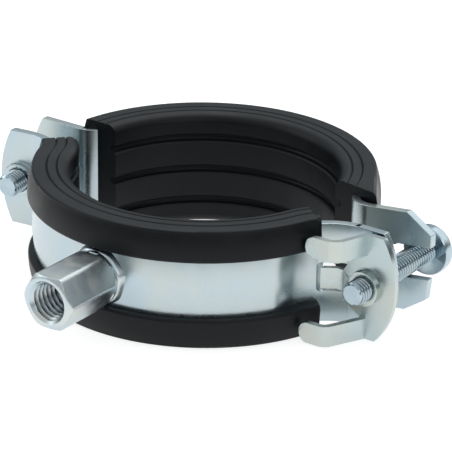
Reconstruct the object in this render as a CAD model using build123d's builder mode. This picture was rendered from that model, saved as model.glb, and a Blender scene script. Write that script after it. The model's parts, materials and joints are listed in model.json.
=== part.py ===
from build123d import *
import os
from collections import namedtuple
from math import asin, atan2, cos, degrees, pi, radians, sin, tan

# A two-piece, rubber lined pipe clamp.  The pipe runs along Z through the origin.  The front half
# lies on the -Y side and carries the connection nut, the rear half lies on the +Y side, and the
# ears that the two clamping screws join stand out along X.  All lengths are in millimetres.

# ---- ring ---------------------------------------------------------------------------------------
pipe_radius = 33.0  # bore across the lands of the rubber
lining_wall = 5.2  # rubber between the pipe and the edges of the band
band_thickness = 2.0
band_width = 25.4
band_crown = 2.2  # the middle of the band stands out this far past its edges
crown_fade = 12.0  # degrees of ring over which the crown flattens towards each ear

# ---- rubber lining ------------------------------------------------------------------------------
lining_width = 30.0
lining_fit = 0.05  # rubber to steel
lip_thickness = 2.2  # rubber outside the band, at the side faces
lip_bulge = 1.1  # the lips swell this far past their outer edge
lip_swell = 0.75  # share of the bulge that the lip has half way down
lip_opening = 14.6  # bare steel between the two lips
lip_rounding = 0.7
lip_overrun = 5.0  # degrees that the lips reach past the wall, at the locking end
bore_bevel = 2.2  # bevel between the bore and each side face
bore_bevel_middle = 0.77  # the bevel is slightly rounded and runs through here
groove_width = 1.9
groove_depth = 1.8
groove_pitch = 8.6  # the three grooves in the bore lie this far apart
groove_mouth = 0.35  # rounding of the groove's edges
groove_wall = 0.7  # share of the depth that has straight walls
side_groove_inset = (1.0, 3.5)  # two fine rings in each side face, from the bevel outwards
side_groove_size = 0.35
right_wrap = 18.0  # degrees that the front lining follows each bend of its band
left_wrap = 25.5
rear_end_lean = 9.9  # slope of the cut at the rear lining's locking end
flare_start = 32.0  # the rear lips run straight on from here, in degrees from +X

# ---- ears ---------------------------------------------------------------------------------------
# An ear leans away from the gap between the halves.  Its gap is measured from the mid-plane to its
# near face at the screw, and its bend is the radius of that same near face.
pivot_x = 54.6  # the pivot screw, at the rear ear
lock_x = 52.5  # the locking screw
lock_drop = 1.1  # locking screw, its plate and the two open slots sit this far below the middle
Ear = namedtuple("Ear", "side half lean gap at bend corner reach")
front_right = Ear(side=1, half=-1, lean=0.0, gap=3.2, at=lock_x, bend=15.0, corner=56.0, reach=59.3)
front_left = Ear(side=-1, half=-1, lean=8.0, gap=4.9, at=54.0, bend=15.0, corner=55.8, reach=58.8)
rear_left = Ear(side=-1, half=1, lean=0.0, gap=4.0, at=pivot_x, bend=5.5, corner=54.5, reach=58.0)
rear_right = Ear(side=1, half=1, lean=14.9, gap=8.9, at=lock_x, bend=6.0, corner=53.2, reach=59.2)
fork_high = 7.4  # the fork's corners are cut off down to these heights
fork_low = 9.4
fork_skew = 0.9  # the lower tine is this much shorter
fork_mouth = 8.4
fork_mouth_rise = 1.2  # its middle lies above the locking screw
slot_mouth = 6.9  # front ear: the locking screw swings out through this
slot_mouth_end = 53.0  # the narrow mouth of the fork begins here
slot_width = 9.9
slot_start = 47.2
slot_rounding = 2.4

# ---- screws -------------------------------------------------------------------------------------
screw_radius = 3.0  # M6
thread_fit = 0.05
collar_radius = 4.3
collar_height = 1.6
pivot_hole_radius = 3.6
head_radius = 6.3
head_height = 4.5
head_wall = 0.45  # shares of the head's height and radius that its outline runs through
head_shoulder = (0.86, 0.82)
head_crown = 0.5
recess_width = 1.2
recess_length = 6.4
recess_depth = 1.9
screw_point = 0.65  # chamfer at the threaded end
lock_screw_length = 32.0
lock_screw_tip = 13.0  # threaded end in front of the mid-plane
pivot_screw_length = 21.0
pivot_head_seat = 1.3  # room under the pivot screw's head for the ear to turn

# ---- locking plate ------------------------------------------------------------------------------
plate_thickness = 1.5
plate_gap = 0.6  # plate to ear, so that it clears the bend
plate_height = 26.8
plate_fold_x = 51.8
plate_top_corner = 57.2
plate_bottom_corner = 55.4
plate_reach = 60.8
plate_reach_height = 1.2
finger_ends = (41.2, 40.8)  # upper and lower
finger_bends = (48.6, 47.0)
finger_steps = (8.9, 10.2)  # how far the fingers stand in front of the flat plate
finger_height = 5.2
finger_rounding = 0.45  # share of its height
fold_radius = 1.6  # inside the bends
relief_radius = 0.7
tongue_height = 5.4
tongue_root_x = 46.2
tongue_root_flare = 1.8
tongue_bend_x = 44.4
tongue_end = 41.2
tongue_dip = 2.1  # the tongue's end follows the band forward by this much
plate_shear_high = 7.6  # the arms are sheared free of the tongue at these heights
plate_shear_low = 8.6
tongue_slot_play = 1.0
tongue_slot_end = 46.6

# ---- connection nut -----------------------------------------------------------------------------
nut_across_flats = 13.0
nut_mouth = 61.4  # mouth of the thread, in front of the pipe's axis
nut_neck_radius = 6.7
nut_neck_end = 44.2
nut_thread_radius = 4.25  # M10, at the crests
nut_thread_entry = 5.2
nut_thread_relief = 0.6  # the thread runs out into a cone just above the band
nut_face_radius = 6.2
nut_mouth_cone = (1.6, 2.2)  # rise and run
nut_neck_cone = 1.0

# ---- places that follow from the sizes above ----------------------------------------------------
band_inner = pipe_radius + lining_wall
band_outer = band_inner + band_thickness
nut_seat = band_outer + band_crown  # the top of the bowed band, which the nut is welded to
band_half = band_width / 2
lining_half = lining_width / 2
lip_half = lip_opening / 2
plate_back = front_right.gap + band_thickness + plate_gap
plate_front = plate_back + plate_thickness
round_off = 1 - cos(pi / 4)  # how far the middle of a unit corner's arc lies from its two sides
far = 80.0  # safely outside the part, for tools that cut through


def bend_angle(ear):
    """Angle from the X axis, in degrees, at which the band leaves the ring for this ear."""
    lean = radians(ear.lean)
    plane = ear.at * sin(lean) - ear.gap * cos(lean)
    return ear.lean + degrees(asin((ear.bend - plane) / (band_inner + ear.bend)))


def bend_centre(ear):
    """Centre of the ear's bend in plan."""
    angle = radians(bend_angle(ear))
    reach = band_inner + ear.bend
    return ear.side * reach * cos(angle), ear.half * reach * sin(angle)


def on_bend(ear, radius, heading):
    """A point of the bend in plan, at a heading in degrees from the X axis."""
    x, y = bend_centre(ear)
    turn = radians(heading)
    return x - ear.side * radius * sin(turn), y - ear.half * radius * cos(turn)


def ring_angle(ear, before=0.0):
    """Polar angle of the ring, so many degrees before the band leaves it for this ear."""
    angle = bend_angle(ear) + before
    return ear.half * (angle if ear.side > 0 else 180 - angle)


def radial_plane(angle):
    """Plane through the pipe's axis: its x is the radius and its y is Z."""
    turn = radians(angle)
    return Plane(origin=(0, 0, 0), x_dir=(cos(turn), sin(turn), 0), z_dir=(sin(turn), -cos(turn), 0))


def band_section(angle, crown, grow):
    """Section of the band, bowed outward by its crown; grow makes the channel for it."""
    half = band_half + grow
    inner = band_inner - grow
    outer = band_outer + grow
    with BuildSketch(radial_plane(angle)) as section:
        with BuildLine():
            if crown > 0:
                ThreePointArc((inner, -half), (inner + crown, 0), (inner, half))
                ThreePointArc((outer, half), (outer + crown, 0), (outer, -half))
            else:
                Line((inner, -half), (inner, half))
                Line((outer, half), (outer, -half))
            Line((inner, half), (outer, half))
            Line((outer, -half), (inner, -half))
        make_face()
    return section.sketch


def ear_section(ear, grow):
    """Plan of the bend and the ear, longer than the finished ear."""
    start = 90 - bend_angle(ear)
    end = -ear.lean
    near = ear.bend + grow
    back = ear.bend - band_thickness - grow
    lean = radians(ear.lean)
    step_x = ear.side * (far - ear.at) * cos(lean)
    step_y = ear.half * (far - ear.at) * sin(lean)
    near_end = on_bend(ear, near, end)
    back_end = on_bend(ear, back, end)
    near_tip = (near_end[0] + step_x, near_end[1] + step_y)
    back_tip = (back_end[0] + step_x, back_end[1] + step_y)
    middle = (start + end) / 2
    with BuildSketch(Plane.XY) as plan:
        with BuildLine():
            ThreePointArc(on_bend(ear, near, start), on_bend(ear, near, middle), near_end)
            Polyline(near_end, near_tip, back_tip, back_end)
            ThreePointArc(back_end, on_bend(ear, back, middle), on_bend(ear, back, start))
            Line(on_bend(ear, back, start), on_bend(ear, near, start))
        make_face()
    return plan.sketch


def bent_strip(right, left, grow=0.0):
    """The rolled and bent strip of one half, before its ears are trimmed."""
    first = ring_angle(right, crown_fade)
    last = ring_angle(left, crown_fade)
    with BuildPart() as strip:
        ring_start = band_section(min(first, last), band_crown, grow)
        revolve(ring_start, axis=Axis.Z, revolution_arc=abs(last - first))
        for ear in (right, left):
            fading = []
            for step in range(4):
                crown = band_crown * (1 - cos(pi * step / 3)) / 2
                fading.append(band_section(ring_angle(ear, crown_fade * step / 3), crown, grow))
            loft(fading)
            extrude(ear_section(ear, grow), amount=band_half + grow, both=True)
    return strip.part


def beyond_ear(ear):
    """Everything beyond the ear's curved outer edge, in elevation."""
    edge = ear.side * ear.corner
    with BuildSketch(Plane.XZ) as elevation:
        with BuildLine():
            ThreePointArc((edge, band_half), (ear.side * ear.reach, 0), (edge, -band_half))
            Polyline(
                (edge, -band_half),
                (edge, -far),
                (ear.side * 2 * far, -far),
                (ear.side * 2 * far, far),
                (edge, far),
                (edge, band_half),
            )
        make_face()
    return elevation.sketch


def lining_section(angle):
    """Section of the rubber: grooved bore, ringed side faces and lips that hold the band."""
    bore_edge = lining_half - bore_bevel
    face_inner = pipe_radius + bore_bevel
    lip_edge = band_outer + lip_thickness
    seat = band_outer + band_crown / 2
    swell = lip_edge + lip_bulge
    swell_height = lip_half + lip_rounding
    with BuildSketch(radial_plane(angle)) as section:
        with BuildLine():
            Line((seat, 0), (pipe_radius, 0))
            Line((pipe_radius, 0), (pipe_radius, bore_edge))
            ThreePointArc(
                (pipe_radius, bore_edge),
                (pipe_radius + bore_bevel_middle, lining_half - bore_bevel_middle),
                (face_inner, lining_half),
            )
            edge = (face_inner, lining_half)
            for inset in side_groove_inset:
                centre = face_inner + inset
                left_edge = (centre - side_groove_size, lining_half)
                right_edge = (centre + side_groove_size, lining_half)
                Line(edge, left_edge)
                Polyline(left_edge, (centre, lining_half - side_groove_size), right_edge)
                edge = right_edge
            Line(edge, (lip_edge - lip_rounding, lining_half))
            ThreePointArc(
                (lip_edge - lip_rounding, lining_half),
                (lip_edge - round_off * lip_rounding, lining_half - round_off * lip_rounding),
                (lip_edge, lining_half - lip_rounding),
            )
            ThreePointArc(
                (lip_edge, lining_half - lip_rounding),
                (lip_edge + lip_swell * lip_bulge, (lining_half - lip_rounding + swell_height) / 2),
                (swell, swell_height),
            )
            ThreePointArc(
                (swell, swell_height),
                (swell - round_off * lip_rounding, lip_half + round_off * lip_rounding),
                (swell - lip_rounding, lip_half),
            )
            Line((swell - lip_rounding, lip_half), (seat, lip_half))
            Line((seat, lip_half), (seat, 0))
        make_face()
        mirror(about=Plane.XZ)
    return section.sketch


def lip_window(angle):
    """Opening between the lips, from the middle of the band's thickness outwards."""
    depth = lip_thickness + lip_bulge + 2 * band_thickness
    with BuildSketch(radial_plane(angle)) as window:
        with Locations((band_inner + band_thickness / 2 + depth / 2, 0)):
            Rectangle(depth, lip_opening)
    return window.sketch


def lip_sections(angle):
    """The two lips alone, outside the band."""
    with BuildSketch(radial_plane(angle)) as lips:
        for level in (1, -1):
            with BuildLine():
                Polyline(
                    (band_outer, level * lip_half),
                    (band_outer + lip_thickness + lip_bulge - lip_rounding, level * lip_half),
                    (band_outer + lip_thickness + lip_bulge, level * (lip_half + lip_rounding)),
                    (band_outer + lip_thickness, level * (lining_half - lip_rounding)),
                    (band_outer + lip_thickness - lip_rounding, level * lining_half),
                    (band_outer, level * lining_half),
                    (band_outer, level * lip_half),
                )
            make_face()
    return lips.sketch


def bore_groove(angle, height):
    """One rounded groove in the bore, its edges opened out a little."""
    half = groove_width / 2
    mouth = half + groove_mouth
    edge = pipe_radius + groove_mouth
    shoulder = pipe_radius + groove_depth * groove_wall
    with BuildSketch(radial_plane(angle)) as groove:
        with BuildLine():
            Polyline(
                (shoulder, height - half),
                (edge, height - half),
                (pipe_radius, height - mouth),
                (pipe_radius - 1, height - mouth),
                (pipe_radius - 1, height + mouth),
                (pipe_radius, height + mouth),
                (edge, height + half),
                (shoulder, height + half),
            )
            ThreePointArc(
                (shoulder, height + half), (pipe_radius + groove_depth, height), (shoulder, height - half)
            )
        make_face()
    return groove.sketch


def pan_head_screw(line, length):
    """A pan head screw with its tip at the plane's origin, running along the plane's normal."""
    side = Plane(origin=line.origin, x_dir=line.x_dir, z_dir=-line.y_dir)
    crown = length + head_height
    with BuildPart() as screw:
        with BuildSketch(side):
            with BuildLine():
                Polyline(
                    (0, crown),
                    (0, 0),
                    (screw_radius - screw_point, 0),
                    (screw_radius, screw_point),
                    (screw_radius, length),
                    (head_radius, length),
                    (head_radius, length + head_height * head_wall),
                )
                ThreePointArc(
                    (head_radius, length + head_height * head_wall),
                    (head_radius * head_shoulder[0], length + head_height * head_shoulder[1]),
                    (head_radius * head_crown, crown),
                )
                Line((head_radius * head_crown, crown), (0, crown))
            make_face()
        revolve(axis=Axis(line.origin, line.z_dir))
        with BuildSketch(line.offset(crown)):
            Rectangle(recess_length, recess_width)
            Rectangle(recess_width, recess_length)
        extrude(amount=-recess_depth, mode=Mode.SUBTRACT)
    return screw.part


# ---- pivot screw's line: square to the leaning front ear, through the rear ear's hole -------------
pivot_turn = radians(front_left.lean)
pivot_along = (-sin(pivot_turn), cos(pivot_turn), 0)
pivot_seat_y = rear_left.gap + band_thickness + pivot_head_seat
pivot_mid_y = rear_left.gap + band_thickness / 2
pivot_seat_x = -pivot_x - (pivot_seat_y - pivot_mid_y) * tan(pivot_turn)
pivot_tip = (
    pivot_seat_x - pivot_screw_length * pivot_along[0],
    pivot_seat_y - pivot_screw_length * pivot_along[1],
    0,
)
front_ear_face = -(front_left.gap + (pivot_x - front_left.at) * sin(pivot_turn))
pivot_line = Plane(origin=pivot_tip, x_dir=(0, 0, 1), z_dir=pivot_along)

# ---- front half of the band ----------------------------------------------------------------------
with BuildPart() as front_half_band:
    add(bent_strip(front_right, front_left))
    for ear in (front_right, front_left):
        extrude(beyond_ear(ear), amount=far, both=True, mode=Mode.SUBTRACT)
    # collar drawn out of the pivot ear, threaded for the pivot screw
    ear_depth = (front_ear_face - band_thickness / cos(pivot_turn) - pivot_tip[1]) / pivot_along[1]
    with BuildSketch(pivot_line.offset(ear_depth - collar_height)):
        Circle(collar_radius)
    extrude(amount=collar_height + band_thickness / 2)
    with BuildSketch(pivot_line):
        Circle(screw_radius + thread_fit)
    extrude(amount=far / 2, mode=Mode.SUBTRACT)
    # open slot that the locking screw swings out of
    with BuildSketch(Plane.XZ):
        with Locations((lock_x, -lock_drop)):
            Circle(slot_mouth / 2)
        with Locations((lock_x + far / 4, -lock_drop)):
            Rectangle(far / 2, slot_mouth)
    extrude(amount=band_outer / 2, mode=Mode.SUBTRACT)
    # slot in the bend for the locking plate's tongue
    with BuildSketch(Plane.XZ):
        slot_left = tongue_end - tongue_slot_play
        with Locations(((slot_left + tongue_slot_end) / 2, -lock_drop)):
            RectangleRounded(tongue_slot_end - slot_left, tongue_height + 2 * tongue_slot_play, tongue_slot_play)
    extrude(amount=band_outer / 2, mode=Mode.SUBTRACT)
front_half_band.part.label = "front_half_band"

# ---- rear half of the band -----------------------------------------------------------------------
with BuildPart() as rear_half_band:
    add(bent_strip(rear_right, rear_left))
    extrude(beyond_ear(rear_left), amount=far, both=True, mode=Mode.SUBTRACT)
    # outline of the fork: two tines with cut corners, the lower one a little shorter
    with BuildSketch(Plane.XZ):
        with BuildLine():
            Polyline(
                (rear_right.corner, band_half),
                (rear_right.reach, fork_high),
                (rear_right.reach, -lock_drop),
                (rear_right.reach - fork_skew, -fork_low),
                (rear_right.corner, -band_half),
                (rear_right.corner, -far),
                (2 * far, -far),
                (2 * far, far),
                (rear_right.corner, far),
                (rear_right.corner, band_half),
            )
        make_face()
    extrude(amount=far, both=True, mode=Mode.SUBTRACT)
    # keyhole slot, open at its narrow end
    with BuildSketch(Plane.XZ):
        with Locations(((slot_start + slot_mouth_end) / 2, -lock_drop)):
            RectangleRounded(slot_mouth_end - slot_start, slot_width, slot_rounding)
        with Locations((slot_mouth_end + far / 4 - slot_rounding, fork_mouth_rise - lock_drop)):
            Rectangle(far / 2, fork_mouth)
    extrude(amount=-band_outer / 2, mode=Mode.SUBTRACT)
    # plain hole for the pivot screw
    with BuildSketch(Plane.XZ):
        with Locations((-pivot_x, 0)):
            Circle(pivot_hole_radius)
    extrude(amount=-band_outer / 2, mode=Mode.SUBTRACT)
rear_half_band.part.label = "rear_half_band"

# ---- front rubber lining -------------------------------------------------------------------------
with BuildPart() as front_rubber_lining:
    first = ring_angle(front_left)
    last = ring_angle(front_right)
    revolve(lining_section(first), axis=Axis.Z, revolution_arc=last - first)
    for ear, wrap in ((front_right, right_wrap), (front_left, left_wrap)):
        centre = bend_centre(ear)
        bend_axis = Axis((centre[0], centre[1], 0), (0, 0, -ear.side))
        leaving = ring_angle(ear)
        revolve(lining_section(leaving), axis=bend_axis, revolution_arc=wrap)
        if ear.side > 0:
            revolve(lip_sections(leaving), axis=bend_axis, revolution_arc=wrap + lip_overrun)
        revolve(lip_window(leaving), axis=bend_axis, revolution_arc=wrap, mode=Mode.SUBTRACT)
        fade_start = min(leaving, ring_angle(ear, crown_fade))
        revolve(lip_window(fade_start), axis=Axis.Z, revolution_arc=crown_fade, mode=Mode.SUBTRACT)
        for row in (-1, 0, 1):
            groove = bore_groove(leaving, row * groove_pitch)
            revolve(groove, axis=bend_axis, revolution_arc=wrap, mode=Mode.SUBTRACT)
    for row in (-1, 0, 1):
        groove = bore_groove(first, row * groove_pitch)
        revolve(groove, axis=Axis.Z, revolution_arc=last - first, mode=Mode.SUBTRACT)
    add(bent_strip(front_right, front_left, lining_fit), mode=Mode.SUBTRACT)
front_rubber_lining.part.label = "front_rubber_lining"

# ---- rear rubber lining --------------------------------------------------------------------------
with BuildPart() as rear_rubber_lining:
    revolve(lining_section(0), axis=Axis.Z, revolution_arc=180)
    # the lips run straight on where the band turns out into the fork
    extrude(lip_sections(flare_start), amount=far / 4)
    for row in (-1, 0, 1):
        groove = bore_groove(0, row * groove_pitch)
        revolve(groove, axis=Axis.Z, revolution_arc=180, mode=Mode.SUBTRACT)
    for ear in (rear_right, rear_left):
        fade_start = min(ring_angle(ear), ring_angle(ear, crown_fade))
        revolve(lip_window(fade_start), axis=Axis.Z, revolution_arc=crown_fade, mode=Mode.SUBTRACT)
    # both ends are cut off flat, parallel or nearly so to the mid-plane
    leave_angle = radians(bend_angle(rear_right))
    leave_x = band_inner * cos(leave_angle)
    leave_y = band_inner * sin(leave_angle)
    end_slope = tan(radians(rear_end_lean))
    left_end = rear_left.gap + band_thickness + 4 * lining_fit
    with BuildSketch(Plane.XY):
        with BuildLine():
            Polyline(
                (-far, left_end),
                (0, left_end),
                (pipe_radius / 2, leave_y + (leave_x - pipe_radius / 2) * end_slope),
                (far, leave_y + (leave_x - far) * end_slope),
                (far, -far),
                (-far, -far),
                (-far, left_end),
            )
        make_face()
    extrude(amount=lining_width, both=True, mode=Mode.SUBTRACT)
    add(bent_strip(rear_right, rear_left, lining_fit), mode=Mode.SUBTRACT)
rear_rubber_lining.part.label = "rear_rubber_lining"

# ---- connection nut ------------------------------------------------------------------------------
with BuildPart() as connection_nut:
    with BuildSketch(Plane.XZ.offset(nut_neck_end)):
        RegularPolygon(nut_across_flats / 2, 6, major_radius=False)
    extrude(amount=nut_mouth - nut_neck_end)
    # both ends of the hexagon are turned to a cone
    with BuildSketch(Plane.XY) as cone:
        with BuildLine():
            Polyline(
                (nut_face_radius, -nut_mouth),
                (nut_face_radius + nut_mouth_cone[0], -nut_mouth + nut_mouth_cone[1]),
                (nut_face_radius + nut_mouth_cone[0], -nut_neck_end - nut_neck_cone),
                (nut_neck_radius, -nut_neck_end),
                (2 * nut_neck_radius, -nut_neck_end),
                (2 * nut_neck_radius, -nut_mouth),
                (nut_face_radius, -nut_mouth),
            )
        make_face()
    revolve(axis=Axis.Y, mode=Mode.SUBTRACT)
    with BuildSketch(Plane.XZ.offset(band_outer)):
        Circle(nut_neck_radius)
    extrude(amount=nut_neck_end - band_outer)
    with BuildSketch(Plane.XY):
        with BuildLine():
            Polyline(
                (0, -nut_mouth),
                (nut_thread_entry, -nut_mouth),
                (nut_thread_radius, -nut_mouth + nut_thread_entry - nut_thread_radius),
                (nut_thread_radius, -nut_seat - nut_thread_relief),
                (nut_thread_radius + nut_thread_relief + band_crown, -band_outer),
                (0, -band_outer),
                (0, -nut_mouth),
            )
        make_face()
    revolve(axis=Axis.Y, mode=Mode.SUBTRACT)
    add(bent_strip(front_right, front_left, thread_fit / 5), mode=Mode.SUBTRACT)
connection_nut.part.label = "connection_nut"

# ---- locking plate: sheared and folded from one sheet ---------------------------------------------
plate_half = plate_height / 2
tongue_half = tongue_height / 2
plate_plane = Plane(origin=(0, -plate_back, -lock_drop), x_dir=(1, 0, 0), z_dir=(0, -1, 0))
with BuildPart() as locking_plate:
    with BuildSketch(plate_plane):
        with BuildLine():
            Line((plate_fold_x, plate_half), (plate_top_corner, plate_half))
            ThreePointArc(
                (plate_top_corner, plate_half), (plate_reach, plate_reach_height), (plate_bottom_corner, -plate_half)
            )
            Polyline(
                (plate_bottom_corner, -plate_half),
                (plate_fold_x, -plate_half),
                (plate_fold_x, -plate_shear_low),
                (tongue_root_x, -tongue_half - tongue_root_flare),
                (tongue_root_x, -tongue_half),
                (tongue_bend_x, -tongue_half),
                (tongue_bend_x, tongue_half),
                (tongue_root_x, tongue_half),
            )
            ThreePointArc(
                (tongue_root_x, tongue_half),
                ((tongue_root_x + plate_fold_x) / 2, (tongue_half + 2 * plate_shear_high) / 3),
                (plate_fold_x, plate_shear_high),
            )
            Line((plate_fold_x, plate_shear_high), (plate_fold_x, plate_half))
        make_face()
    extrude(amount=plate_thickness)
    # the end of the tongue follows the band and fills the slot in it
    with BuildSketch(Plane.XY.offset(-lock_drop)):
        with BuildLine():
            Polyline(
                (tongue_bend_x, -plate_back),
                (tongue_bend_x, -plate_front),
                (tongue_end, -plate_front - tongue_dip),
                (tongue_end, -plate_back - tongue_dip),
                (tongue_bend_x, -plate_back),
            )
        make_face()
    extrude(amount=tongue_half, both=True)
    # two arms step forward past the lips of the rubber and end in fingers
    for level, end, bend, step in zip((1, -1), finger_ends, finger_bends, finger_steps):
        finger_back = plate_back + step
        finger_front = plate_front + step
        shift = plate_thickness * tan(atan2(step, plate_fold_x - bend) / 2)
        with BuildSketch(Plane.XY.offset(-lock_drop + level * (plate_half - finger_height / 2))):
            with BuildLine():
                Polyline(
                    (plate_fold_x + shift, -plate_back),
                    (plate_fold_x, -plate_back),
                    (bend, -finger_back),
                    (end, -finger_back),
                    (end, -finger_front),
                    (bend + shift, -finger_front),
                    (plate_fold_x + shift, -plate_front),
                    (plate_fold_x + shift, -plate_back),
                )
            make_face()
        extrude(amount=finger_height / 2, both=True)
        standing = locking_plate.edges().filter_by(Axis.Z)
        inside = standing.sort_by_distance((bend, -finger_back, level * plate_half))[0]
        fillet(inside, radius=fold_radius)
        standing = locking_plate.edges().filter_by(Axis.Z)
        outside = standing.sort_by_distance((bend + shift, -finger_front, level * plate_half))[0]
        fillet(outside, radius=fold_radius + plate_thickness)
        tips = locking_plate.edges().filter_by(Axis.Y).sort_by_distance((end, -finger_front, level * plate_half))
        fillet(tips[0:2], radius=finger_height * finger_rounding)
    # relief hole at the upper fold, and the threaded collar
    with BuildSketch(plate_plane):
        with Locations((plate_fold_x, plate_half - 1.2 * relief_radius)):
            Circle(relief_radius)
    extrude(amount=plate_thickness, mode=Mode.SUBTRACT)
    with BuildSketch(plate_plane):
        with Locations((lock_x, 0)):
            Circle(collar_radius)
    extrude(amount=plate_thickness + collar_height)
    with BuildSketch(plate_plane):
        with Locations((lock_x, 0)):
            Circle(screw_radius + thread_fit)
    extrude(amount=far / 2, both=True, mode=Mode.SUBTRACT)
locking_plate.part.label = "locking_plate"

# ---- screws --------------------------------------------------------------------------------------
lock_line = Plane(origin=(lock_x, -lock_screw_tip, -lock_drop), x_dir=(0, 0, 1), z_dir=(0, 1, 0))
with BuildPart() as right_screw:
    add(pan_head_screw(lock_line, lock_screw_length))
right_screw.part.label = "right_screw"

with BuildPart() as left_screw:
    add(pan_head_screw(pivot_line, pivot_screw_length))
left_screw.part.label = "left_screw"

os.makedirs("parts", exist_ok=True)
for piece in (
    front_half_band,
    rear_half_band,
    front_rubber_lining,
    rear_rubber_lining,
    connection_nut,
    left_screw,
    right_screw,
    locking_plate,
):
    export_step(piece.part, f"parts/{piece.part.label}.step")
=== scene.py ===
# %% [markdown]
# # A rubber lined pipe clamp
# The clamp arrives as solid pieces at their real size. This lesson dresses them: bright zinc on
# the bent steel strips, black rubber inside them, real threads on the two screws and in the nut,
# and a plain, soft studio round it all. Everything is in metres, and the solids are never moved.

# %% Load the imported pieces
import json
import bmesh
import bpy
from math import cos, pi, radians, sin, sqrt
from mathutils import Matrix, Vector

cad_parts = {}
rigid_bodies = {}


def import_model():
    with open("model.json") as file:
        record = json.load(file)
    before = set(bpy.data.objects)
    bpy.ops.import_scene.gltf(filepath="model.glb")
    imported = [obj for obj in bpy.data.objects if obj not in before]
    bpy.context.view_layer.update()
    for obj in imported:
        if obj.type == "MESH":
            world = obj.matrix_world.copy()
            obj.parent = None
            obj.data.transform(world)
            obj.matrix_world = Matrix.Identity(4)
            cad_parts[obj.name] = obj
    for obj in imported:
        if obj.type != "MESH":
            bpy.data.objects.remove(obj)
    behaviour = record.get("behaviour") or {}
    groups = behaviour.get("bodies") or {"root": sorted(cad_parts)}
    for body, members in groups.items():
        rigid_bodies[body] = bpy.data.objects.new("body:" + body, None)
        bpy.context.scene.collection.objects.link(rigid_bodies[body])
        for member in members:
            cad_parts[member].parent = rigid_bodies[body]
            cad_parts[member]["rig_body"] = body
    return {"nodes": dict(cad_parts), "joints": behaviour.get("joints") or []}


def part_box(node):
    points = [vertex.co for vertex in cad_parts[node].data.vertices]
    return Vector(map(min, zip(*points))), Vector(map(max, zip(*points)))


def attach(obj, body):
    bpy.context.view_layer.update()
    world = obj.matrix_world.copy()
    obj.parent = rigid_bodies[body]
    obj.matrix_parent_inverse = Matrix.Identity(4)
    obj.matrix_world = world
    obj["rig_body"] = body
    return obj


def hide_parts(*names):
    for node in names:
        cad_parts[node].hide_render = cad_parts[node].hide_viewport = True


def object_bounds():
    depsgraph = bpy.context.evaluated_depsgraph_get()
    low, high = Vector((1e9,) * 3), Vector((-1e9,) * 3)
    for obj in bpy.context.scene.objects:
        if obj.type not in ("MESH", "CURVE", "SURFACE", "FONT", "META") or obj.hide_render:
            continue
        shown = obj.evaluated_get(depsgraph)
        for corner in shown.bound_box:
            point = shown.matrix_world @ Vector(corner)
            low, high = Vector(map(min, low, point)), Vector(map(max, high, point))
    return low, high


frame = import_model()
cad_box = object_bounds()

MM = 0.001
nodes = frame["nodes"]
print("pieces:", sorted(nodes))
print("size in mm:", [round((high - low) / MM, 1) for low, high in zip(*cad_box)])

# %% [markdown]
# Colours are picked as the hex numbers that a screen shows. Light is worked out in linear numbers,
# so one function turns each colour, and nothing else in the lesson has to think about it.

# %% Colour and node helpers
MIX_SHARE, MIX_FIRST, MIX_SECOND = 0, 6, 7  # the sockets of a Mix node that mixes colours
MIX_COLOUR = 2  # and its output


def linear(hex_colour):
    """A colour such as "#c8d0d4" as the linear RGBA that a shader wants."""
    channels = [int(hex_colour[i : i + 2], 16) / 255 for i in (1, 3, 5)]
    return [c / 12.92 if c <= 0.04045 else ((c + 0.055) / 1.055) ** 2.4 for c in channels] + [1.0]


def add_node(tree, kind, settings=None, links=None):
    """Adds a node, sets its properties or input sockets, and links inputs to other outputs."""
    node = tree.nodes.new(kind)
    for name, value in (settings or {}).items():
        if isinstance(name, str) and name not in node.inputs and hasattr(node, name):
            setattr(node, name, value)
        else:
            node.inputs[name].default_value = value
    for name, output in (links or {}).items():
        tree.links.new(output, node.inputs[name])
    return node


def new_material(name):
    """An empty material with its surface shader, and the tree to build in."""
    material = bpy.data.materials.new(name)
    material.use_nodes = True
    tree = material.node_tree
    tree.nodes.clear()
    shader = add_node(tree, "ShaderNodeBsdfPrincipled")
    add_node(tree, "ShaderNodeOutputMaterial", links={"Surface": shader.outputs["BSDF"]})
    return material, tree, shader


def per_metre(size_mm):
    """Scale of a noise whose features are about this many millimetres across."""
    return 1 / (size_mm * MM)


# %% [markdown]
# Bright zinc is electroplated and then passivated. The eye reads it as a cool, slightly cloudy
# metal: soft patches of blue and straw some ten millimetres across, fine streaks from the rolling
# mill, and a polish that comes and goes with the patches. It is a metal, so its reflections carry
# all of its look, and the default IOR stays. Thread roots are painted darker, as painted shade: a
# mesh says how deep each of its points lies, and the recipe reads that. One recipe serves the
# strips, the nut, the screws and the stamped plate, each with its own tint and polish.

# %% Bright zinc plate
# Painted shade: the tint below darkens the zinc deep in a thread's root.
ROOT_PAINTED_SHADE = "#5b656a"  # multiplies the zinc in a thread's root


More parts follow.
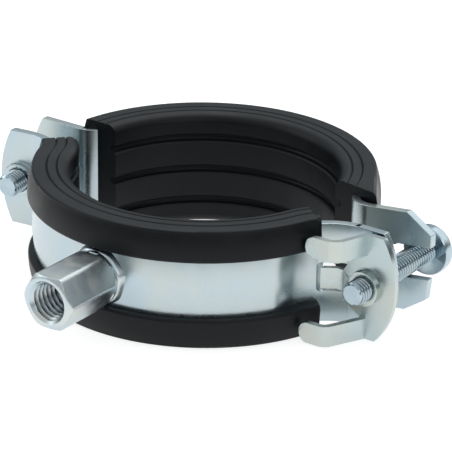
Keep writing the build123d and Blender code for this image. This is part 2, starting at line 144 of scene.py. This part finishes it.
def zinc_plate(name, cool, straw, polish, patch_mm, streak_mm, streak_along):
    """Zinc electroplate: two tints in soft patches, streaks along one axis, uneven polish."""
    material, tree, shader = new_material(name)
    place = add_node(tree, "ShaderNodeTexCoord").outputs["Object"]
    patches = add_node(
        tree,
        "ShaderNodeTexNoise",
        {"Scale": per_metre(patch_mm), "Detail": 3.0, "Roughness": 0.55},
        {"Vector": place},
    )
    tint = add_node(tree, "ShaderNodeValToRGB", links={"Fac": patches.outputs["Fac"]})
    tint.color_ramp.elements[0].position = 0.38
    tint.color_ramp.elements[0].color = linear(cool)
    tint.color_ramp.elements[1].position = 0.68
    tint.color_ramp.elements[1].color = linear(straw)
    stretched = add_node(tree, "ShaderNodeMapping", {"Scale": streak_along}, {"Vector": place})
    streaks = add_node(
        tree,
        "ShaderNodeTexNoise",
        {"Scale": per_metre(streak_mm), "Detail": 4.0, "Roughness": 0.6},
        {"Vector": stretched.outputs["Vector"]},
    )
    rough = add_node(
        tree,
        "ShaderNodeMapRange",
        {"From Min": 0.35, "From Max": 0.65, "To Min": polish - 0.06, "To Max": polish + 0.07},
        {"Value": patches.outputs["Fac"]},
    )
    bump = add_node(
        tree,
        "ShaderNodeBump",
        {"Strength": 0.15, "Distance": 0.002 * MM},
        {"Height": streaks.outputs["Fac"]},
    )
    # Painted shade: the zinc is darkened by the root's tint as deep as the mesh says a point lies
    # in a thread.
    root_shade_mask = add_node(tree, "ShaderNodeAttribute", {"attribute_name": "thread_root_painted_shade"})
    root_shaded = add_node(
        tree,
        "ShaderNodeMix",
        {"data_type": "RGBA", "blend_type": "MULTIPLY", MIX_SECOND: linear(ROOT_PAINTED_SHADE)},
        {MIX_SHARE: root_shade_mask.outputs["Fac"], MIX_FIRST: tint.outputs["Color"]},
    )
    shader.inputs["Metallic"].default_value = 1.0
    tree.links.new(root_shaded.outputs[MIX_COLOUR], shader.inputs["Base Color"])
    tree.links.new(rough.outputs["Result"], shader.inputs["Roughness"])
    tree.links.new(bump.outputs["Normal"], shader.inputs["Normal"])
    print("made", name)
    return material


band_zinc = zinc_plate(
    "zinc_on_rolled_strip", "#b0c0c8", "#bec7c6", 0.26, 14, 1.2, (1.0, 1.0, 4.0)
)
nut_zinc = zinc_plate(
    "zinc_on_drawn_hexagon", "#bccad1", "#ccd2cf", 0.32, 5, 0.8, (4.0, 1.0, 4.0)
)
screw_zinc = zinc_plate(
    "zinc_on_rolled_thread", "#a6b8c2", "#b8c6cb", 0.2, 6, 0.5, (3.0, 1.0, 3.0)
)
plate_zinc = zinc_plate(
    "zinc_on_stamped_sheet", "#b2c0c2", "#c0c6c0", 0.26, 10, 0.7, (1.0, 1.0, 1.0)
)

# %% [markdown]
# The lining is EPDM, extruded as a long profile and cut to length. It is near black, with a soft
# grey bloom in patches of some nine millimetres and a very fine grain of about a third of a
# millimetre. Rubber isn't a mirror, so its gloss is broad and weak. Its level faces are painted a
# little lighter than the rest: painted light, standing in for the light that falls on them. That
# could be a second material, but here the surface's own normal picks those faces, so one material
# covers both linings.

# %% Extruded EPDM rubber
CLOUD_MM = 9  # size of the bloom's patches
GRAIN_MM = 0.35
RUBBER_IOR = 1.52
RUBBER_SHEEN = 0.22  # under the usual 0.5, because its grain traps much of the light


def epdm_rubber(name, dark, bloom, level_face_light):
    """Near-black rubber with a patchy bloom, a fine grain and painted light on its level faces."""
    material, tree, shader = new_material(name)
    here = add_node(tree, "ShaderNodeTexCoord")
    place = here.outputs["Object"]
    cloud = add_node(
        tree,
        "ShaderNodeTexNoise",
        {"Scale": per_metre(CLOUD_MM), "Detail": 5.0, "Roughness": 0.6},
        {"Vector": place},
    )
    tone = add_node(tree, "ShaderNodeValToRGB", links={"Fac": cloud.outputs["Fac"]})
    tone.color_ramp.elements[0].position = 0.35
    tone.color_ramp.elements[0].color = linear(dark)
    tone.color_ramp.elements[1].position = 0.75
    tone.color_ramp.elements[1].color = linear(bloom)
    # Painted light: faces that point straight up or down are mixed towards a lighter grey.
    facing = add_node(tree, "ShaderNodeSeparateXYZ", links={"Vector": here.outputs["Normal"]})
    level = add_node(tree, "ShaderNodeMath", {"operation": "ABSOLUTE"}, {0: facing.outputs["Z"]})
    share = add_node(
        tree,
        "ShaderNodeMapRange",
        {"From Min": 0.55, "From Max": 0.95, "To Min": 0.0, "To Max": 1.0},
        {"Value": level.outputs["Value"]},
    )
    level_face_lit = add_node(
        tree,
        "ShaderNodeMix",
        {"data_type": "RGBA", MIX_SECOND: linear(level_face_light)},
        {MIX_SHARE: share.outputs["Result"], MIX_FIRST: tone.outputs["Color"]},
    )
    grain = add_node(
        tree,
        "ShaderNodeTexNoise",
        {"Scale": per_metre(GRAIN_MM), "Detail": 3.0, "Roughness": 0.6},
        {"Vector": place},
    )
    bump = add_node(
        tree,
        "ShaderNodeBump",
        {"Strength": 0.25, "Distance": 0.05 * MM},
        {"Height": grain.outputs["Fac"]},
    )
    rough = add_node(
        tree,
        "ShaderNodeMapRange",
        {"From Min": 0.3, "From Max": 0.7, "To Min": 0.36, "To Max": 0.5},
        {"Value": cloud.outputs["Fac"]},
    )
    shader.inputs["IOR"].default_value = RUBBER_IOR
    shader.inputs["Specular IOR Level"].default_value = RUBBER_SHEEN
    tree.links.new(level_face_lit.outputs[MIX_COLOUR], shader.inputs["Base Color"])
    tree.links.new(rough.outputs["Result"], shader.inputs["Roughness"])
    tree.links.new(bump.outputs["Normal"], shader.inputs["Normal"])
    print("made", name)
    return material


# The last colour is painted light on the level faces.
lining_rubber = epdm_rubber("extruded_epdm_rubber", "#030609", "#0b1116", "#1c2023")

# %% [markdown]
# The strips, the lining and the stamped plate already have their real shape, so they only take a
# finish. Sheet steel is sheared, then tumbled, so its edges are broken by a fraction of a
# millimetre. Modifiers do that: they leave the solid's own mesh alone, and one function serves
# all three sheets.

# %% Dress the solids
EDGE_BREAK = 0.18 * MM
SHEARED_ANGLE = 40  # an edge sharper than this was sheared


def dress(name, material):
    """Gives a solid its finish."""
    slots = nodes[name].data.materials
    slots.clear()
    slots.append(material)
    print("dressed", name, "in", material.name)


def soften_edges(name):
    """Breaks the sheared edges of a solid with modifiers, which leave its own mesh alone."""
    weld = nodes[name].modifiers.new("weld", "WELD")
    weld.merge_threshold = 0.001 * MM
    edge = nodes[name].modifiers.new("broken_edges", "BEVEL")
    edge.width = EDGE_BREAK
    edge.segments = 2
    edge.limit_method = "ANGLE"
    edge.angle_limit = radians(SHEARED_ANGLE)
    even = nodes[name].modifiers.new("even_normals", "WEIGHTED_NORMAL")
    even.weight = 90


FINISHES = {
    "front_half_band": band_zinc,
    "rear_half_band": band_zinc,
    "front_rubber_lining": lining_rubber,
    "rear_rubber_lining": lining_rubber,
    "connection_nut": nut_zinc,
    "left_screw": screw_zinc,
    "right_screw": screw_zinc,
    "locking_plate": plate_zinc,
}
for name, material in FINISHES.items():
    dress(name, material)

for name in ("front_half_band", "rear_half_band", "locking_plate"):
    soften_edges(name)
print("broke the edges of the sheets by", EDGE_BREAK / MM, "mm")

# %% [markdown]
# A thread is one ridge wound round a cylinder. It could be a profile swept along a helix, but a
# grid of rings closes more cleanly. Each point's radius depends only on how far it is along the
# pitch, less its share of a turn, so the ridge climbs by one pitch each turn.

# %% Thread and mesh helpers
SHARP_ANGLE = 38
THREAD_FLAT = 0.12  # share of the pitch's half that is flat, in the root and on the crest


def thread_wave(along, turn, pitch):
    """0 in the root and 1 on the crest, with the small flats of a metric thread."""
    phase = (along / pitch - turn) % 1.0
    ridge = 1 - abs(2 * phase - 1)
    return min(max((ridge - THREAD_FLAT) / (1 - 2 * THREAD_FLAT), 0.0), 1.0)


def shade_smooth(mesh):
    """Smooth shading that stops at a mesh's sharp edges."""
    for polygon in mesh.polygons:
        polygon.use_smooth = True
    mesh.set_sharp_from_angle(angle=radians(SHARP_ANGLE))


def ring_mesh(name, rings, place, material, body, tube=False, depth_at=None):
    """Joins equally long rings of points into one closed skin that rides on a body.

    A tube's last ring joins its first; any other skin is capped at both ends. depth_at says how
    deep in a thread's root a point is, from 0 to 1, where the zinc is painted darker as painted
    shade.
    """
    count = len(rings[0])
    points = [place @ Vector(point) for ring in rings for point in ring]
    faces = []
    for row in range(len(rings) if tube else len(rings) - 1):
        here, above = row * count, (row + 1) % len(rings) * count
        for column in range(count):
            beside = (column + 1) % count
            faces.append((here + column, here + beside, above + beside, above + column))
    if not tube:
        faces.append(tuple(reversed(range(count))))
        faces.append(tuple(range((len(rings) - 1) * count, len(rings) * count)))
    mesh = bpy.data.meshes.new(name)
    mesh.from_pydata(points, [], faces)
    mesh.update()
    shade_smooth(mesh)
    mesh.materials.append(material)
    # The depths drive the painted shade in the thread's roots.
    if depth_at:
        root = mesh.attributes.new("thread_root_painted_shade", "FLOAT", "POINT")
        depths = [depth_at(Vector(point)) for ring in rings for point in ring]
        root.data.foreach_set("value", depths)
    piece = bpy.data.objects.new(name, mesh)
    bpy.context.scene.collection.objects.link(piece)
    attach(piece, body)
    print("made", name, "with", len(mesh.polygons), "faces")
    return piece


def round_ring(radius_at, along, count):
    """A ring of points round the Z axis, whose radius is a function of the share of a turn."""
    turns = [i / count for i in range(count)]
    return [
        (radius_at(t) * cos(2 * pi * t), radius_at(t) * sin(2 * pi * t), along) for t in turns
    ]


def circle(radius, along, count):
    """A ring of one radius."""
    return round_ring(lambda turn: radius, along, count)


def line_frame(tip, direction):
    """Matrix whose Z axis runs along a direction from a tip."""
    z_axis = Vector(direction).normalized()
    x_axis = Vector((0, 0, 1)).cross(z_axis).normalized()
    y_axis = z_axis.cross(x_axis)
    matrix = Matrix((x_axis, y_axis, z_axis)).transposed().to_4x4()
    matrix.translation = Vector(tip)
    return matrix

# %% [markdown]
# The two screws are M6: a pitch of one millimetre, crests at three millimetres and roots a little
# over half a millimetre deeper. Their threads are rolled, and the head is cold headed to a low,
# rounded pan. A screw modifier could wind the thread, but it leaves open ends, so the whole screw
# is one grid from tip to crown.

# %% M6 pan head screws
PITCH_M6 = 1.0 * MM
CREST_M6 = 3.0 * MM
ROOT_M6 = 2.42 * MM
POINT_M6 = 0.65 * MM  # the chamfer at the tip
TIP_FLAT = (0.3 * MM, ROOT_M6 - 0.1 * MM)  # radii of the two rings of the tip's flat
HEAD_RADIUS = 6.27 * MM
HEAD_HEIGHT = 4.5 * MM
HEAD_WALL = 0.45  # share of the height that stands straight, below the crown
HEAD_CHAMFER = 0.25 * MM
CROWN_FLAT = 0.4 * MM
CROWN_STEPS = 8
SCREW_POINTS = 72
ROWS_PER_PITCH = 10


def shank_ring(along):
    """A ring of the threaded shank, which the point's chamfer limits."""
    limit = CREST_M6 - max(0.0, POINT_M6 - along)

    def radius_at(turn):
        ridge = (CREST_M6 - ROOT_M6) * thread_wave(along, turn, PITCH_M6)
        return min(ROOT_M6 + ridge, limit)

    return round_ring(radius_at, along, SCREW_POINTS)


def screw_rings(length):
    """Rings of a screw from its tip to the top of its head."""
    rings = [circle(radius, 0, SCREW_POINTS) for radius in TIP_FLAT]
    rows = int(round(length / PITCH_M6 * ROWS_PER_PITCH))
    rings += [shank_ring(length * row / rows) for row in range(rows + 1)]
    edge = length + HEAD_WALL * HEAD_HEIGHT
    rings.append(circle(HEAD_RADIUS - HEAD_CHAMFER, length, SCREW_POINTS))
    rings.append(circle(HEAD_RADIUS, length + HEAD_CHAMFER, SCREW_POINTS))
    rings.append(circle(HEAD_RADIUS, edge, SCREW_POINTS))
    for step in range(1, CROWN_STEPS + 1):
        bend = step / CROWN_STEPS * pi / 2
        radius = HEAD_RADIUS * (0.5 + 0.5 * cos(bend))
        rise = (1 - HEAD_WALL) * HEAD_HEIGHT * sin(bend)
        rings.append(circle(radius, edge + rise, SCREW_POINTS))
    rings.append(circle(CROWN_FLAT, length + HEAD_HEIGHT, SCREW_POINTS))
    return rings


# %% [markdown]
# A punch presses the cross recess into the head, and its walls taper so that the punch comes out.
# Working the cross into the grid would need rings of another shape, so two crossed, tapered blocks
# are cut out by a boolean. It is applied at once, because the finished mesh is shaded again.

# %% Cross recess
RECESS_ARM = 3.2 * MM
RECESS_HALF_WIDTH = 0.62 * MM
RECESS_ENDS = ((0.5 * MM, 1.08), (-1.9 * MM, 0.62))  # height from the crown, share of the size


def recess_cutter(place, crown):
    """Two crossed, tapered blocks."""
    mesh = bmesh.new()
    for wide, narrow in ((RECESS_ARM, RECESS_HALF_WIDTH), (RECESS_HALF_WIDTH, RECESS_ARM)):
        ends = []
        for rise, share in RECESS_ENDS:
            x, y, z = wide * share, narrow * share, crown + rise
            corners = ((x, y, z), (-x, y, z), (-x, -y, z), (x, -y, z))
            ends.append([mesh.verts.new(place @ Vector(corner)) for corner in corners])
        top, bottom = ends
        mesh.faces.new(top)
        mesh.faces.new(list(reversed(bottom)))
        for i in range(4):
            mesh.faces.new((top[(i + 1) % 4], top[i], bottom[i], bottom[(i + 1) % 4]))
    bmesh.ops.recalc_face_normals(mesh, faces=mesh.faces)
    cutter_mesh = bpy.data.meshes.new("recess_cutter")
    mesh.to_mesh(cutter_mesh)
    mesh.free()
    cutter = bpy.data.objects.new("recess_cutter", cutter_mesh)
    bpy.context.scene.collection.objects.link(cutter)
    return cutter


def cut_recess(piece, place, crown):
    """Cuts a tapered cross into the head."""
    cutter = recess_cutter(place, crown)
    cut = piece.modifiers.new("recess", "BOOLEAN")
    cut.operation = "DIFFERENCE"
    cut.solver = "EXACT"
    cut.use_self = True
    cut.object = cutter
    bpy.context.view_layer.update()
    evaluated = piece.evaluated_get(bpy.context.evaluated_depsgraph_get())
    finished = bpy.data.meshes.new_from_object(evaluated)
    piece.modifiers.remove(cut)
    piece.data = finished
    bpy.data.objects.remove(cutter)
    shade_smooth(finished)


# %% [markdown]
# Each screw's place is read from the plain solid that it replaces, and its direction from its own
# joint, so it sits in its collar exactly. Numbers typed in by hand would miss as soon as the
# solid moved.

# %% Put the screws in their places
TIP_SLICE = 0.01 * MM  # points this near the tip's plane belong to it
UNDER_HEAD = 0.1 * MM


def make_screw(name, node, direction):
    """A threaded screw in the place of its plain solid."""
    direction = Vector(direction).normalized()
    points = [vertex.co for vertex in nodes[node].data.vertices]
    along = [point.dot(direction) for point in points]
    length = max(along) - min(along) - HEAD_HEIGHT
    tip_ring = [p for p in points if p.dot(direction) < min(along) + TIP_SLICE]
    tip = sum(tip_ring, Vector()) / len(tip_ring)
    place = line_frame(tip, direction)
    body = nodes[node]["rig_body"]

    def root_depth(point):
        """Depth of a point in the thread."""
        if not POINT_M6 < point.z < length - UNDER_HEAD:
            return 0.0
        share = (CREST_M6 - Vector((point.x, point.y)).length) / (CREST_M6 - ROOT_M6)
        return min(max(share, 0.0), 1.0)

    rings = screw_rings(length)
    screw = ring_mesh(name, rings, place, screw_zinc, body, depth_at=root_depth)
    cut_recess(screw, place, length + HEAD_HEIGHT)
    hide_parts(node)
    print(name, "is", round(length / MM, 2), "mm under its head")


axes = {joint["child"]: joint["axis"] for joint in frame["joints"]}
make_screw("locking_screw_threaded", "right_screw", axes[nodes["right_screw"]["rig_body"]])
make_screw("pivot_screw_threaded", "left_screw", axes[nodes["left_screw"]["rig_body"]])

# %% [markdown]
# The nut is drawn hexagonal bar, thirteen millimetres across its flats, turned to a cone at its
# mouth and to a short neck where it is welded on. Inside it is an M10 thread, cut with a pitch of
# a millimetre and a half. Cutting a hexagon with booleans would tear the fine thread, so both
# skins are grids: outside, the radius is the smaller of the hexagon and the cones, and inside it
# is the larger of the thread and the cone at the mouth. The drawn bar's corners are rounded.

# %% M10 connection nut
PITCH_M10 = 1.5 * MM
THREAD_MINOR = 4.25 * MM
THREAD_MAJOR = 5.05 * MM
ENTRY_RADIUS = 5.3 * MM
FLAT_HALF = 6.5 * MM
CORNER_RADIUS = 7.28 * MM
FACE_RADIUS = 6.2 * MM
MOUTH_SLOPE = 1.6
NECK_RADIUS = 6.7 * MM
NECK_SLOPE = 0.9
BARREL = 17.2 * MM  # length of the hexagon
NUT_DEPTH = 19.8 * MM  # from the mouth to inside the strip
NUT_POINTS = 144
ROWS_PER_TURN = 12
MOUTH_HEIGHTS = [0.08 * MM * step for step in range(14)]
MIDDLE_HEIGHTS = [BARREL * share for share in (0.25, 0.4, 0.55, 0.7, 0.85)]
NECK_HEIGHTS = [BARREL - 0.15 * MM * step for step in range(10, -1, -1)]


def hexagon_radius(turn):
    """Radius at a share of a turn, with softly rounded corners at 0, 1/6, and so on."""
    angle = turn * 6 % 1.0 - 0.5
    return min(FLAT_HALF / cos(angle * pi / 3), CORNER_RADIUS)


def bore_ring(along):
    """A ring of the thread, which the cone at the mouth opens."""

    def radius_at(turn):
        ridge = thread_wave(along, turn, PITCH_M10)
        return max(THREAD_MAJOR - (THREAD_MAJOR - THREAD_MINOR) * ridge, ENTRY_RADIUS - along)

    return round_ring(radius_at, along, NUT_POINTS)


def outside_ring(along):
    """A ring of the hexagon, which a cone cuts at each end."""
    mouth_cone = FACE_RADIUS + MOUTH_SLOPE * along
    neck_cone = NECK_RADIUS + NECK_SLOPE * (BARREL - along)
    cone = min(mouth_cone, neck_cone)
    return round_ring(lambda turn: min(hexagon_radius(turn), cone), along, NUT_POINTS)


def nut_rings():
    """Rings from the bottom of the bore to the mouth, and back along the outside."""
    rows = int(NUT_DEPTH / PITCH_M10 * ROWS_PER_TURN)
    rings = [bore_ring(NUT_DEPTH * row / rows) for row in range(rows, -1, -1)]
    rings += [outside_ring(along) for along in MOUTH_HEIGHTS + MIDDLE_HEIGHTS + NECK_HEIGHTS]
    rings.append(circle(NECK_RADIUS, BARREL + 0.1 * MM, NUT_POINTS))
    rings.append(circle(NECK_RADIUS, NUT_DEPTH, NUT_POINTS))
    return rings


def nut_root_depth(point):
    """Depth of a point in the nut's thread; the outside and the mouth have none."""
    radius = Vector((point.x, point.y)).length
    if radius > ENTRY_RADIUS + 0.1 * MM or point.z < 0.8 * MM:
        return 0.0
    return min(max((radius - THREAD_MINOR) / (THREAD_MAJOR - THREAD_MINOR), 0.0), 1.0)


low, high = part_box("connection_nut")
nut = ring_mesh(
    "connection_nut_threaded",
    nut_rings(),
    line_frame((0, low.y, 0), (0, 1, 0)),
    nut_zinc,
    "front_half",
    tube=True,
    depth_at=nut_root_depth,
)
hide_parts("connection_nut")
print("the nut's mouth is at", round(low.y / MM, 2), "mm, and the strip hides its other end")

# %% [markdown]
# Where the nut meets the strip, resistance welding leaves a raised, slightly uneven rim. A ring
# bevelled round the neck would float off the strip, which curves both ways, so each point of the
# rim is set out from the strip's own face at that height. Two slow waves make it uneven.

# %% Weld rim
STRIP_RADIUS = 42.4 * MM
CROWN_RADIUS = 37.8 * MM
RIM_SECTION = (  # radius and rise in mm
    (6.5, 1.5),
    (6.8, 1.45),
    (7.05, 1.2),
    (7.25, 0.8),
    (7.4, 0.4),
    (7.55, 0.1),
    (7.65, -0.6),
    (6.5, -0.6),
)


def strip_depth(x, z):
    """How far in front of the pipe's axis the strip's outer face is."""
    radius = STRIP_RADIUS - (CROWN_RADIUS - sqrt(CROWN_RADIUS**2 - z**2))
    return sqrt(radius**2 - x**2)


def rim_point(radius_mm, rise_mm, angle):
    """A point of the rim's section, at an angle round the nut."""
    uneven = 1 + 0.025 * sin(3 * angle + 0.7) + 0.02 * sin(7 * angle)
    x = radius_mm * MM * uneven * cos(angle)
    z = radius_mm * MM * uneven * sin(angle)
    return (x, -strip_depth(x, z) - rise_mm * MM * uneven, z)


rim_angles = [2 * pi * i / NUT_POINTS for i in reversed(range(NUT_POINTS))]
rim_rings = [[rim_point(*corner, angle) for angle in rim_angles] for corner in RIM_SECTION]
as_it_is = Matrix.Identity(4)
ring_mesh("weld_rim", rim_rings, as_it_is, nut_zinc, "front_half", tube=True)

# %% [markdown]
# ## Studio
# The clamp lies on a wide sheet of white paper. The paper's own colour is a mid grey, so that it
# doesn't light the clamp too much, and a faint glow that only the camera and mirror-like rays see
# lifts it to white. The clamp's soft shadow stays on it.

# %% Floor
FLOOR_HALF = 3.0
FLOOR_GLOW = 0.78
floor_z = cad_box[0][2]
sides = ((-1, -1), (1, -1), (1, 1), (-1, 1))
corners = [(x * FLOOR_HALF, y * FLOOR_HALF, floor_z) for x, y in sides]
floor_mesh = bpy.data.meshes.new("floor")
floor_mesh.from_pydata(corners, [], [(0, 1, 2, 3)])
floor = bpy.data.objects.new("floor", floor_mesh)
bpy.context.scene.collection.objects.link(floor)

paper, tree, shader = new_material("matt_white_paper")
shader.inputs["Base Color"].default_value = linear("#b4b4b4")
shader.inputs["Roughness"].default_value = 0.9
shader.inputs["Emission Color"].default_value = linear("#ffffff")
path = add_node(tree, "ShaderNodeLightPath")
seen = add_node(
    tree,
    "ShaderNodeMath",
    {"operation": "MAXIMUM"},
    {0: path.outputs["Is Camera Ray"], 1: path.outputs["Is Glossy Ray"]},
)
glow = add_node(
    tree, "ShaderNodeMath", {"operation": "MULTIPLY", 1: FLOOR_GLOW}, {0: seen.outputs["Value"]}
)
tree.links.new(glow.outputs["Value"], shader.inputs["Emission Strength"])
floor_mesh.materials.append(paper)
print("floor at", round(floor_z / MM, 2), "mm")

# %% [markdown]
# A metal shows its surroundings, so an all-white world would leave the zinc flat. This world is
# nearly white overhead and darkens to a cool grey at the horizon, as a studio's walls do: that
# darker band draws the strip's curve. Where the camera itself looks past the floor, it sees white.

# %% World
WORLD_STRENGTH = 0.8
STUDIO_WALLS = ((0.0, "#3c4449"), (0.15, "#555e64"), (0.32, "#dfe4e6"), (1.0, "#eef0f1"))
scene = bpy.context.scene
world = bpy.data.worlds.new("studio")
scene.world = world
world.use_nodes = True
tree = world.node_tree
tree.nodes.clear()
direction = add_node(tree, "ShaderNodeTexCoord").outputs["Generated"]
height = add_node(tree, "ShaderNodeSeparateXYZ", links={"Vector": direction})
sky = add_node(tree, "ShaderNodeValToRGB", links={"Fac": height.outputs["Z"]})
sky.color_ramp.interpolation = "EASE"
while len(sky.color_ramp.elements) < len(STUDIO_WALLS):
    sky.color_ramp.elements.new(0.5)
for element, (position, colour) in zip(sky.color_ramp.elements, STUDIO_WALLS):
    element.position = position
    element.color = linear(colour)
surroundings = add_node(
    tree, "ShaderNodeBackground", {"Strength": WORLD_STRENGTH}, {"Color": sky.outputs["Color"]}
)
backdrop = add_node(tree, "ShaderNodeBackground", {"Color": (1, 1, 1, 1), "Strength": 1.0})
path = add_node(tree, "ShaderNodeLightPath")
mix = add_node(
    tree,
    "ShaderNodeMixShader",
    links={0: path.outputs["Is Camera Ray"], 1: surroundings.outputs[0], 2: backdrop.outputs[0]},
)
add_node(tree, "ShaderNodeOutputWorld", links={"Surface": mix.outputs[0]})
print("world made")

# %% [markdown]
# Four large, weak lamps add soft shape to the light: overhead, from the left, from the right, and
# from behind, where a low lamp gives the rubber's upper faces their sheen. Small, strong lamps
# would burn white spots into the zinc.


# %% Lamps
def soft_lamp(name, place, size, power):
    """A square soft lamp that looks at the middle of the clamp."""
    light = bpy.data.lights.new(name, "AREA")
    light.size = size
    light.energy = power
    lamp = bpy.data.objects.new(name, light)
    lamp.location = place
    lamp.rotation_euler = (-Vector(place)).to_track_quat("-Z", "Y").to_euler()
    scene.collection.objects.link(lamp)
    print(name, power, "W")


soft_lamp("top_lamp", (-0.1, 0.25, 0.9), 0.8, 3.2)
soft_lamp("left_lamp", (-0.8, -0.5, 0.45), 0.5, 1.2)
soft_lamp("right_lamp", (0.8, -0.5, 0.5), 0.4, 0.6)
soft_lamp("back_lamp", (0.2, 0.95, 0.46), 0.9, 1.9)

# %% [markdown]
# The camera stands some seventy centimetres off, a little above, with a long lens, so the clamp's
# far side is hardly smaller than its near side. It stands to the right of the nut and leans by
# less than a degree. A look-at constraint couldn't lean, so its three axes are worked out here.

# %% Camera
AZIMUTH = radians(35.65)
ELEVATION = radians(23.41)
ROLL = radians(0.71)
DISTANCE = 0.7106
SIDEWAYS = 5.45 * MM
UPWARDS = -1.59 * MM
LENS = 229.1

back = Vector(
    (sin(AZIMUTH) * cos(ELEVATION), -cos(AZIMUTH) * cos(ELEVATION), sin(ELEVATION))
)
level = Vector((cos(AZIMUTH), sin(AZIMUTH), 0))
up = back.cross(level)
right = cos(ROLL) * level + sin(ROLL) * up
above = -sin(ROLL) * level + cos(ROLL) * up
lens = bpy.data.cameras.new("camera")
lens.lens = LENS
lens.sensor_width = 36
lens.clip_end = 10
camera = bpy.data.objects.new("camera", lens)
camera.matrix_world = Matrix((right, above, back)).transposed().to_4x4()
camera.location = DISTANCE * back + SIDEWAYS * right + UPWARDS * above
scene.collection.objects.link(camera)
scene.camera = camera
scene.view_settings.view_transform = "Standard"
print("camera at", [round(c, 4) for c in camera.location])
